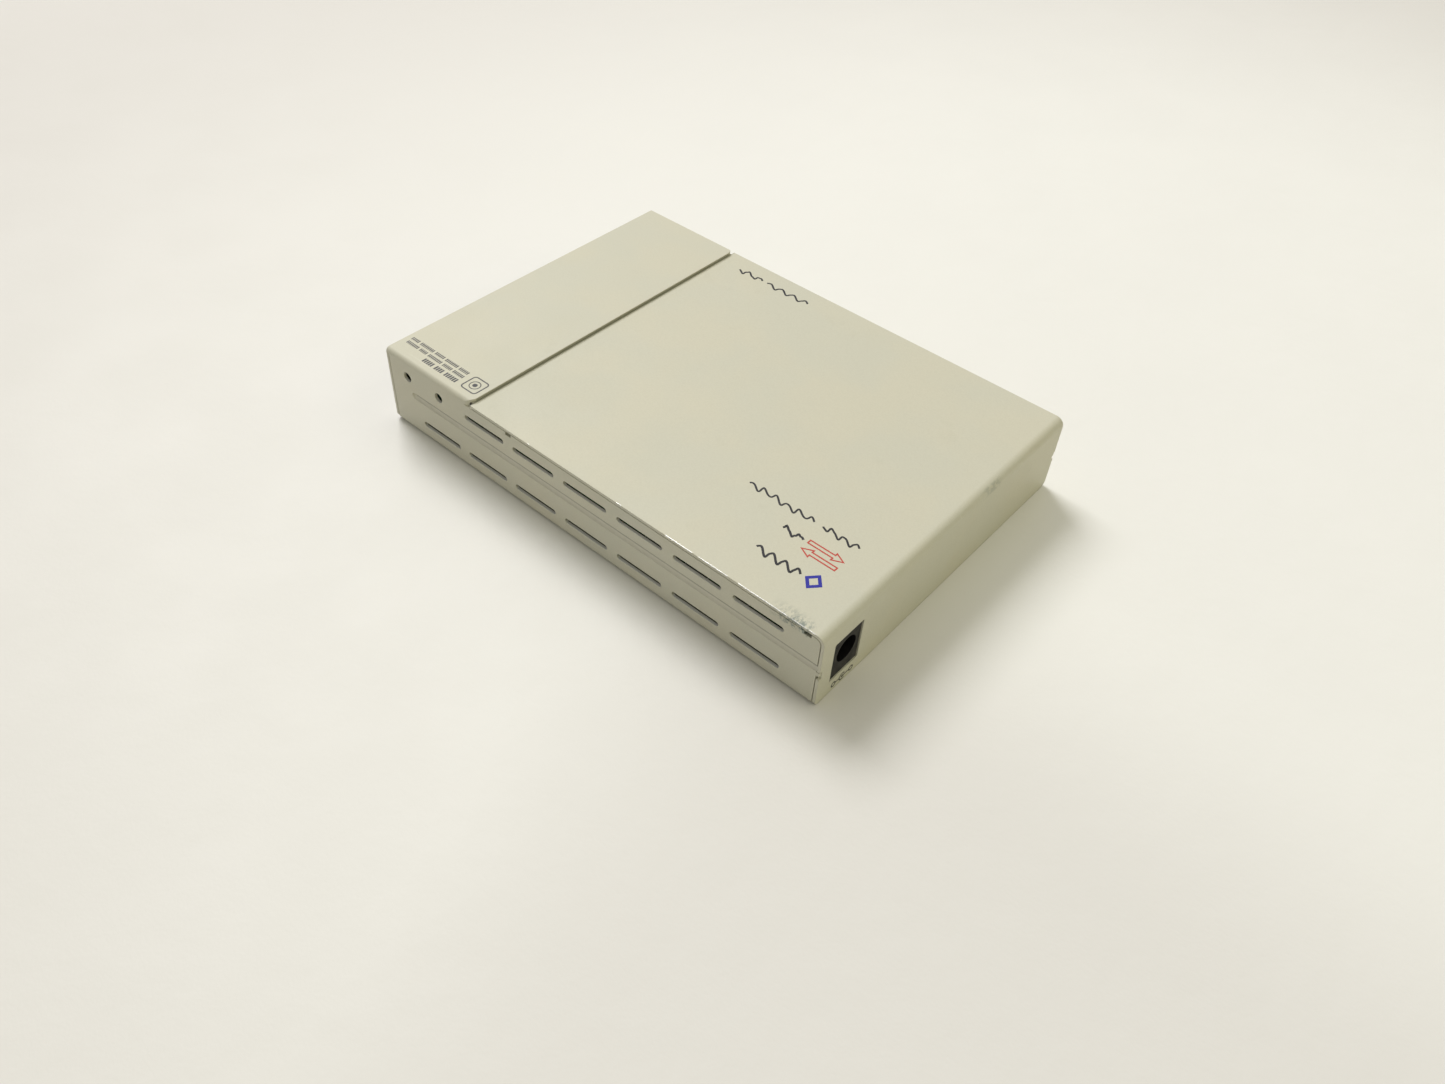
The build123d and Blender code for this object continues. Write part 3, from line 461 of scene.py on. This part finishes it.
# ---------------------------------------------------------------- printed marks
class Print:
    """Flat marks of ink on one plane, gathered into one closed mesh."""

    def __init__(self, name, plane):
        self.name, self.plane = name, plane
        self.corners, self.faces = [], []

    def prism(self, outline_left, outline_right, closed):
        """A thin solid between two outlines of equally many points."""
        first = len(self.corners)
        for left, right in zip(outline_left, outline_right):
            for u, v in (left, right):
                self.corners += [(u, v, 0.0), (u, v, INK)]
        count = len(outline_left)
        for step in range(count if closed else count - 1):
            a, b = first + 4 * step, first + 4 * ((step + 1) % count)
            self.faces += [(a + 1, b + 1, b + 3, a + 3), (a, a + 2, b + 2, b),
                           (a, b, b + 1, a + 1), (a + 2, a + 3, b + 3, b + 2)]
        if not closed:
            last = first + 4 * (count - 1)
            self.faces += [(first, first + 1, first + 3, first + 2), (last, last + 2, last + 3, last + 1)]

    def line(self, points, width, closed=False):
        """A band of ink of that width along the points, in metres on the plane."""
        points = [Vector(p) for p in points]
        left, right = [], []
        for i, p in enumerate(points):
            before = points[i - 1] if closed or i else p
            after = points[(i + 1) % len(points)] if closed or i < len(points) - 1 else p
            into, out = (p - before).normalized(), (after - p).normalized()
            way = (into + out).normalized()
            cosine = max(0.5, way.dot(out if out.length else into))
            side = Vector((-way.y, way.x)) * (width / 2 / cosine)
            left.append(tuple(p + side))
            right.append(tuple(p - side))
        self.prism(left, right, closed)

    def dot(self, centre, radius, steps=24):
        """A filled disc."""
        turns = [2 * math.pi * i / steps for i in range(steps)]
        ring = [(centre[0] + radius * math.cos(t), centre[1] + radius * math.sin(t)) for t in turns]
        hub = [centre] * steps
        self.prism(hub, ring, True)

    def ring(self, centre, radius, width, steps=40):
        turns = [2 * math.pi * i / steps for i in range(steps)]
        self.line([(centre[0] + radius * math.cos(t), centre[1] + radius * math.sin(t)) for t in turns],
                  width, closed=True)

    def wave(self, start, length, height, turns, width, lean=0.30):
        """A plain leaning wave running along -u from start, higher and lower by turns."""
        count = int(20 * turns)
        points = []
        for i in range(count + 1):
            t = i / count
            swell = height * (0.70 + 0.30 * math.cos(7.3 * t * math.pi))
            angle = 2 * math.pi * turns * t
            points.append((start[0] - length * t - lean * swell * math.sin(angle),
                           start[1] + swell / 2 * math.sin(angle)))
        self.line(points, width)

    def ticks(self, start, length, height, groups, fill=0.5):
        """Groups of upright bars along u, in place of a line of small print."""
        pitch = length / (sum(groups) + len(groups) - 1)
        u = start[0] + pitch / 2
        for count in groups:
            for _ in range(count):
                self.line([(u, start[1] - height / 2), (u, start[1] + height / 2)], fill * pitch)
                u += pitch
            u += pitch

    def outline(self, low, high, width):
        """A rectangle's outline between two corners, its own corners cut off by its width."""
        (a, b), (c, d) = low, high
        self.line([(a + width, b), (c - width, b), (c, b + width), (c, d - width),
                   (c - width, d), (a + width, d), (a, d - width), (a, b + width)], width, closed=True)

    def build(self, finish, body):
        """Makes the piece. Every mark, whether ink or metal, is declared under the black plastic slot."""
        mesh = bpy.data.meshes.new(self.name)
        mesh.from_pydata(self.corners, [], self.faces)
        mesh.validate()
        mesh.materials.append(finish)
        piece = bpy.data.objects.new(self.name, mesh)
        bpy.context.scene.collection.objects.link(piece)
        mesh.transform(self.plane)
        mesh.update()
        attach(piece, body)
        return piece


def top_plane(height):
    """A print's plane on a level surface: u along +X, v along +Y."""
    return Matrix.Translation((0, 0, height))


# a print's plane on the rear wall: u along +Y, v along +Z
REAR_PLANE = Matrix(((0, 0, 1, cover_high.x), (1, 0, 0, 0), (0, 1, 0, 0), (0, 0, 0, 1)))

dark_ink = ink("ink_dark", (0.020, 0.020, 0.024))
blue_ink = ink("ink_blue", (0.018, 0.020, 0.330))
red_ink = ink("ink_red", (0.500, 0.070, 0.050))
white_ink = ink("ink_white", (0.700, 0.700, 0.680))


def strip_caution_mark():
    """Front strip: a rounded tile with a fibre end in it, and three rows of plain bars."""
    mark = Print("print_strip_mark", top_plane(strip_top))
    centre = (-39.9 * MM, -41.4 * MM)
    half, corner = 2.4 * MM, 0.8 * MM
    tile = []
    for quarter, (side_u, side_v) in enumerate(((1, 1), (-1, 1), (-1, -1), (1, -1))):
        for part in range(5):
            turn = math.pi / 2 * (quarter + part / 4)
            tile.append((centre[0] + side_u * (half - corner) + corner * math.cos(turn),
                         centre[1] + side_v * (half - corner) + corner * math.sin(turn)))
    mark.line(tile, 0.32 * MM, closed=True)
    mark.dot(centre, 0.62 * MM)
    mark.ring(centre, 1.35 * MM, 0.22 * MM)
    mark.ticks((-56.0 * MM, -43.3 * MM), 12.0 * MM, 1.40 * MM, (5, 4, 6), fill=0.66)
    mark.ticks((-64.4 * MM, -41.3 * MM), 20.4 * MM, 1.00 * MM, (8, 5, 9, 6, 7), fill=0.58)
    mark.ticks((-64.6 * MM, -39.6 * MM), 20.4 * MM, 1.00 * MM, (5, 9, 6, 8, 6), fill=0.58)
    return mark.build(dark_ink, "chassis")


def cover_marks():
    """Cover: plain waves where the object has script, a blue lozenge and two red arrows."""
    level = top_plane(cover_high.z)
    dark = Print("print_cover_waves", level)
    # where each word's wave starts, its length, height, turns and stroke, lengths in millimetres
    words = (((-6.5, 41.2), 13.5, 2.0, 3.5, 0.50), ((-21.6, 41.2), 7.8, 2.3, 2.0, 0.50),
             ((51.6, -35.9), 11.4, 2.6, 3.5, 0.54), ((46.0, -27.8), 5.4, 1.9, 1.5, 0.54),
             ((56.0, -21.8), 9.4, 2.0, 3.0, 0.46), ((44.4, -22.0), 17.6, 2.0, 5.5, 0.46))
    for (u, v), length, height, turns, stroke in words:
        dark.wave((u * MM, v * MM), length * MM, height * MM, turns, stroke * MM)
    dark.build(dark_ink, "cover")
    blue = Print("print_cover_lozenge", level)
    u, v = 54.8 * MM, -35.7 * MM
    lozenge = [(u + 1.7 * MM, v), (u, v + 1.9 * MM), (u - 1.7 * MM, v), (u, v - 1.9 * MM)]
    blue.line(lozenge, 0.75 * MM, closed=True)
    blue.build(blue_ink, "cover")
    red = Print("print_cover_arrows", level)
    for direction, middle_v in ((1, -27.3 * MM), (-1, -29.9 * MM)):
        tip, tail, neck = 4.4 * MM, -4.4 * MM, 2.0 * MM
        shape = [(tip, 0), (neck, 1.15 * MM), (neck, 0.50 * MM), (tail, 0.50 * MM),
                 (tail, -0.50 * MM), (neck, -0.50 * MM), (neck, -1.15 * MM)]
        red.line([(51.6 * MM + direction * a, middle_v + b) for a, b in shape], 0.34 * MM, closed=True)
    red.build(red_ink, "cover")


def inlet_mark():
    """Rear wall, under the power inlet: a generic barrel-plug symbol."""
    mark = Print("print_inlet_mark", REAR_PLANE)
    u, v, stroke = -37.4 * MM, 1.75 * MM, 0.32 * MM
    mark.dot((u, v), 0.38 * MM)
    sleeve = 0.95 * MM
    arc = [math.radians(a) for a in range(40, 321, 20)]
    mark.line([(u + sleeve * math.cos(t), v + sleeve * math.sin(t)) for t in arc], stroke)
    mark.line([(u, v), (u + 2.4 * MM, v)], stroke)
    mark.line([(u - sleeve, v), (u - 2.4 * MM, v)], stroke)
    for side in (1, -1):
        mark.ring((u + side * 3.0 * MM, v), 0.62 * MM, stroke, 24)
    return mark.build(dark_ink, "cover")


def front_marks():
    """Front panel: a bar over the ports and by each indicator, and a tick over each slider."""
    panel_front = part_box("front_panel")[0].x
    # u along -Y, v along +Z
    front_plane = Matrix(((0, 0, -1, panel_front), (-1, 0, 0, 0), (0, 1, 0, 0), (0, 0, 0, 1)))
    mark = Print("print_front_marks", front_plane)
    lens_low, lens_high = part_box("led_lenses")
    for side, edge in ((-1, -lens_high.y), (1, -lens_low.y)):
        for row in INDICATOR_ROWS:
            near, far = edge + side * 1.0 * MM, edge + side * 2.6 * MM
            mark.line([(near, row * MM), (far, row * MM)], 0.35 * MM)
    for number in range(1, 5):
        low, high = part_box(f"dip_slider_{number}")
        u = -(low.y + high.y) / 2
        mark.line([(u, 12.0 * MM), (u, 12.9 * MM)], 0.3 * MM)
    for node, lift in (("fibre_housing", 1.6 * MM), ("copper_housing", 1.4 * MM)):
        low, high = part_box(node)
        middle, top = -(low.y + high.y) / 2, high.z + lift
        mark.line([(middle - 5 * MM, top), (middle + 5 * MM, top)], 0.3 * MM)
    return mark.build(dark_ink, "chassis")


def board_legend():
    """Circuit board: white outlines round the parts, dots at pin one, and plated holes."""
    legend = Print("print_board_legend", top_plane(board_top))
    taken = []
    for node in ("converter_chip", "line_driver_chip", "network_transformer", "voltage_regulator",
                 "crystal", "power_inductor", "fibre_housing", "copper_shield", "dip_switch_body"):
        low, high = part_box(node)
        taken.append((low, high))
        spare = 0.7 * MM
        if node not in ("fibre_housing", "copper_shield", "dip_switch_body"):
            legend.outline((low.x - spare, low.y - spare), (high.x + spare, high.y + spare), 0.18 * MM)
            legend.dot((low.x - 1.4 * MM, low.y - 0.2 * MM), 0.3 * MM, 16)
    for u, v, radius, _ in CAPACITORS:
        legend.ring((u * MM, v * MM), (radius + 0.5) * MM, 0.18 * MM)
        taken.append((Vector((u - radius, v - radius, 0)) * MM, Vector((u + radius, v + radius, 0)) * MM))
    legend.build(white_ink, "chassis")
    holes = Print("board_plated_holes", top_plane(board_top))
    dice = random.Random(7)
    low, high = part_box("circuit_board")
    for _ in range(150):
        u, v = dice.uniform(-50 * MM, 49 * MM), dice.uniform(low.y + 3 * MM, high.y - 3 * MM)
        clear = all(not (a.x - MM < u < b.x + MM and a.y - MM < v < b.y + MM) for a, b in taken)
        if clear:
            holes.ring((u, v), 0.32 * MM, 0.24 * MM, 14)
    holes.build(finishes["gold"], "chassis")


def part_marks():
    """A ring at pin one and a row of bars on each chip, and a scored cross on each capacitor's lid."""
    for node in ("converter_chip", "line_driver_chip", "network_transformer"):
        low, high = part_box(node)
        dot = Print(f"print_{node}_dot", top_plane(high.z))
        dot.ring((low.x + 2.4 * MM, low.y + 2.4 * MM), 0.42 * MM, 0.16 * MM, 24)
        dot.ticks((low.x + 4.4 * MM, (low.y + high.y) / 2), (high.x - low.x) - 8.0 * MM, 0.9 * MM, (3, 5, 2))
        dot.build(white_ink, "chassis")
    for number, (u, v, radius, height) in enumerate(CAPACITORS, start=1):
        score = Print(f"capacitor_{number}_score", top_plane(board_top + height * MM))
        reach = (radius - 1.1) * MM
        for angle in (0.4, 0.4 + math.pi / 2):
            du, dv = reach * math.cos(angle), reach * math.sin(angle)
            score.line([(u * MM - du, v * MM - dv), (u * MM + du, v * MM + dv)], 0.22 * MM)
        score.build(finishes["zinc_steel"], "chassis")


strip_caution_mark()
cover_marks()
inlet_mark()
front_marks()
board_legend()
part_marks()

# ---------------------------------------------------------------- floor, light and camera
FLOOR_HALF = 1.6                        # metres
# middle of the painted pool of light on the floor
LIT_MIDDLE = (100 * MM, 100 * MM)


def floor_finish():
    """Pale, nearly matt table top with a faint woven and mottled relief, and painted shade in places."""
    s = Surface("floor", Specular_IOR_Level=0.18)
    x, y, _ = s.axes()
    tone = s.mix(s.noise(60 * MM, 4), (0.805, 0.800, 0.785), (0.835, 0.830, 0.815))
    # painted shade: darker away from a painted pool of light beyond the object's far rear corner, and off its
    # near rear corner
    across, along = s.math("SUBTRACT", x, LIT_MIDDLE[0]), s.math("SUBTRACT", y, LIT_MIDDLE[1])
    squares = s.math("ADD", s.math("MULTIPLY", across, across), s.math("MULTIPLY", along, along))
    distance = s.math("SQRT", squares)
    near_rear_shade = s.all_of(s.ramp(x, 0.0, 80 * MM, 0.0, 0.55), s.ramp(y, 20 * MM, -50 * MM))
    shade = s.math("MAXIMUM", s.ramp(distance, 130 * MM, 460 * MM), near_rear_shade)
    s.set("Base Color", s.mix(shade, tone, (0.655, 0.635, 0.620)))
    s.set("Roughness", s.ramp(s.noise(30 * MM, 4), 0.3, 0.7, 0.50, 0.62))
    weave = s.math("MULTIPLY", s.noise(0.8 * MM, 2), 0.12)
    s.bump(s.math("ADD", s.noise(9 * MM, 4), weave), 0.5 * MM, None, 0.30)
    return s.material


def make_floor():
    mesh = bpy.data.meshes.new("floor")
    corners = [(-FLOOR_HALF, -FLOOR_HALF, 0), (FLOOR_HALF, -FLOOR_HALF, 0),
               (FLOOR_HALF, FLOOR_HALF, 0), (-FLOOR_HALF, FLOOR_HALF, 0)]
    mesh.from_pydata(corners, [], [(0, 1, 2, 3)])
    mesh.materials.append(floor_finish())
    floor = bpy.data.objects.new("floor", mesh)
    floor.location.z = cad_low.z - 0.02 * MM
    bpy.context.scene.collection.objects.link(floor)


def soft_light(name, place, size, power, colour):
    """A square area light aimed at the origin."""
    data = bpy.data.lights.new(name, "AREA")
    data.shape, data.size, data.energy, data.color = "SQUARE", size, power, colour
    light = bpy.data.objects.new(name, data)
    light.location = place
    light.rotation_mode = "QUATERNION"
    light.rotation_quaternion = (-Vector(place)).to_track_quat("-Z", "Y")
    bpy.context.scene.collection.objects.link(light)


def make_world():
    """Soft light, whiter from -X, warmer from +X and brighter from +Y, and a pale backdrop for the camera."""
    world = bpy.data.worlds.new("studio")
    world.use_nodes = True
    tree = world.node_tree
    background = tree.nodes["Background"]
    backdrop = tree.nodes.new("ShaderNodeBackground")
    backdrop.inputs["Color"].default_value = (0.80, 0.79, 0.76, 1.0)
    seen = tree.nodes.new("ShaderNodeMixShader")
    tree.links.new(tree.nodes.new("ShaderNodeLightPath").outputs["Is Camera Ray"], seen.inputs[0])
    tree.links.new(background.outputs[0], seen.inputs[1])
    tree.links.new(backdrop.outputs[0], seen.inputs[2])
    tree.links.new(seen.outputs[0], tree.nodes["World Output"].inputs["Surface"])
    toward = tree.nodes.new("ShaderNodeSeparateXYZ")
    tree.links.new(tree.nodes.new("ShaderNodeTexCoord").outputs["Generated"], toward.inputs[0])
    # the colour changes along X
    blend = tree.nodes.new("ShaderNodeMapRange")
    blend.inputs[1].default_value, blend.inputs[2].default_value = -0.5, 0.8
    tree.links.new(toward.outputs[0], blend.inputs[0])
    mix = tree.nodes.new("ShaderNodeMix")
    mix.data_type = "RGBA"
    tree.links.new(blend.outputs[0], mix.inputs[0])
    mix.inputs[6].default_value = (1.0, 0.985, 0.98, 1.0)
    mix.inputs[7].default_value = (1.0, 0.965, 0.62, 1.0)
    tree.links.new(mix.outputs[2], background.inputs["Color"])
    # the strength changes along Y
    level = tree.nodes.new("ShaderNodeMapRange")
    level.inputs[1].default_value, level.inputs[2].default_value = -0.9, 0.6
    level.inputs[3].default_value, level.inputs[4].default_value = 0.38, 0.60
    tree.links.new(toward.outputs[1], level.inputs[0])
    tree.links.new(level.outputs[0], background.inputs["Strength"])
    bpy.context.scene.world = world


CAMERA_PLACE = Vector((139.3, -175.4, 191.5)) * MM
CAMERA_AIM = Vector((27.9, -31.5, 10.0)) * MM
CAMERA_ROLL = math.radians(4.28)
CAMERA_LENS = 29.45


def make_camera():
    data = bpy.data.cameras.new("camera")
    data.lens, data.sensor_width = CAMERA_LENS, 36.0
    data.clip_start, data.clip_end = 0.01, 20.0
    camera = bpy.data.objects.new("camera", data)
    look = (CAMERA_AIM - CAMERA_PLACE).to_track_quat("-Z", "Y")
    camera.matrix_world = (Matrix.Translation(CAMERA_PLACE) @ look.to_matrix().to_4x4()
                           @ Matrix.Rotation(CAMERA_ROLL, 4, "Z"))
    bpy.context.scene.collection.objects.link(camera)
    bpy.context.scene.camera = camera


make_floor()
make_world()
soft_light("key", (-1.90, 0.66, 2.26), 1.30, 67.0, (1.0, 0.99, 0.975))
soft_light("fill", (1.6, 0.5, 1.6), 1.2, 5.0, (1.0, 0.95, 0.80))
make_camera()
bpy.context.scene.view_settings.view_transform = "Standard"
